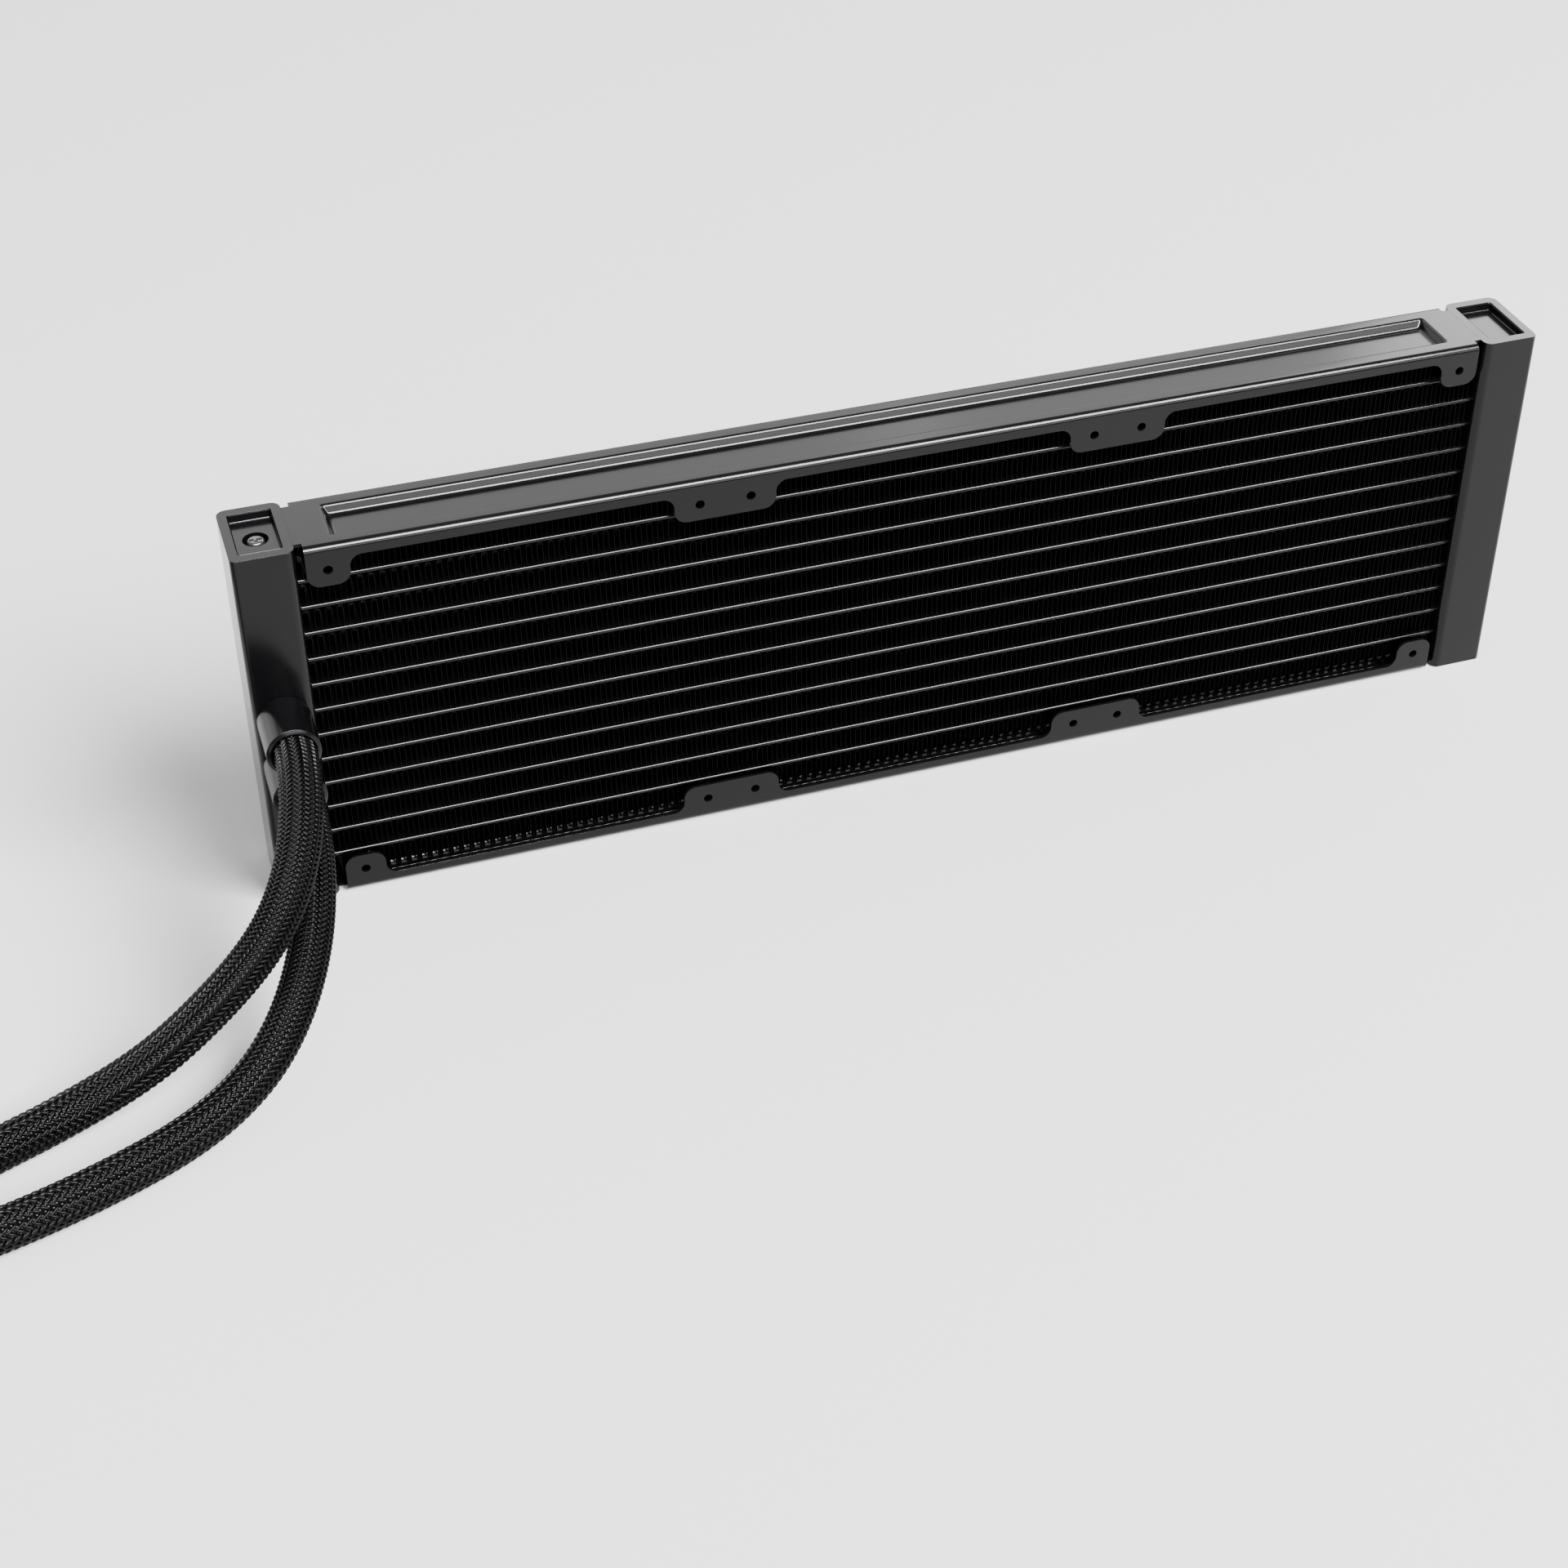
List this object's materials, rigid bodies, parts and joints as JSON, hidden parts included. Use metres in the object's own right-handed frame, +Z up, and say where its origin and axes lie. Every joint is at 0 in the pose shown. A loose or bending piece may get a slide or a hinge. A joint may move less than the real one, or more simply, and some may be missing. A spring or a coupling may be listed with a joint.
{
  "type": "liquid cooling radiator",
  "caption": "Slim black liquid cooling radiator for a row of fans, with end tanks, fill plug and two braided hoses ending in threaded swivel elbows.",
  "frame": {"origin": "middle of the radiator's footprint on its long lower edge, without the hoses and their fittings", "axes": "+X along the radiator, away from the tank with the hoses; +Y from the front with the hose ports to the back; +Z up"},
  "size_m": [0.6081, 0.2203, 0.12],
  "materials": {
    "satin_black_paint": "satin",
    "black_core": "matte",
    "bare_aluminium": "matte",
    "blackened_steel": "satin",
    "seal_rubber": "matte",
    "brass": "satin",
    "gloss_black_collar": "gloss",
    "braided_sleeve": "woven",
    "plated_fitting": "satin"
  },
  "bodies": {
    "radiator": {"top_side_plate": "satin_black_paint", "bottom_side_plate": "satin_black_paint", "left_tank": "satin_black_paint", "right_tank": "satin_black_paint", "tank_divider": "bare_aluminium", "left_header_plate": "black_core", "right_header_plate": "black_core", "left_top_cap": "satin_black_paint", "left_bottom_cap": "satin_black_paint", "right_top_cap": "satin_black_paint", "right_bottom_cap": "satin_black_paint", "flat_tube_1": "black_core", "flat_tube_2": "black_core", "flat_tube_3": "black_core", "flat_tube_4": "black_core", "flat_tube_5": "black_core", "flat_tube_6": "black_core", "flat_tube_7": "black_core", "flat_tube_8": "black_core", "flat_tube_9": "black_core", "flat_tube_10": "black_core", "flat_tube_11": "black_core", "flat_tube_12": "black_core", "fin_row_1": "black_core", "fin_row_2": "black_core", "fin_row_3": "black_core", "fin_row_4": "black_core", "fin_row_5": "black_core", "fin_row_6": "black_core", "fin_row_7": "black_core", "fin_row_8": "black_core", "fin_row_9": "black_core", "fin_row_10": "black_core", "fin_row_11": "black_core", "fin_row_12": "black_core", "fin_row_13": "black_core", "hose_1_barb": "brass", "hose_2_barb": "brass", "hose_1_collar": "gloss_black_collar", "hose_2_collar": "gloss_black_collar", "hose_1": "braided_sleeve", "hose_2": "braided_sleeve", "hose_1_end_collar": "gloss_black_collar", "hose_2_end_collar": "gloss_black_collar", "hose_1_elbow": "gloss_black_collar", "hose_2_elbow": "gloss_black_collar"},
    "fill_plug": {"fill_plug": "blackened_steel", "fill_plug_seal": "seal_rubber"},
    "hose_1_swivel_end": {"hose_1_swivel": "plated_fitting", "hose_1_swivel_seal": "seal_rubber"},
    "hose_2_swivel_end": {"hose_2_swivel": "plated_fitting", "hose_2_swivel_seal": "seal_rubber"}
  },
  "joints": [
    {"name": "fill_plug_draw", "type": "slide", "parent": "radiator", "child": "fill_plug", "axis": [0, 0, 1], "range_m": [0, 0.006]},
    {"name": "hose_1_swivel_turn", "type": "hinge", "parent": "radiator", "child": "hose_1_swivel_end", "pos_m": [-0.3759, 0.079, 0.0184], "axis": [0, 0, 1], "continuous": true},
    {"name": "hose_2_swivel_turn", "type": "hinge", "parent": "radiator", "child": "hose_2_swivel_end", "pos_m": [-0.4009, 0.03, 0.0184], "axis": [0, 0, 1], "continuous": true}
  ]
}
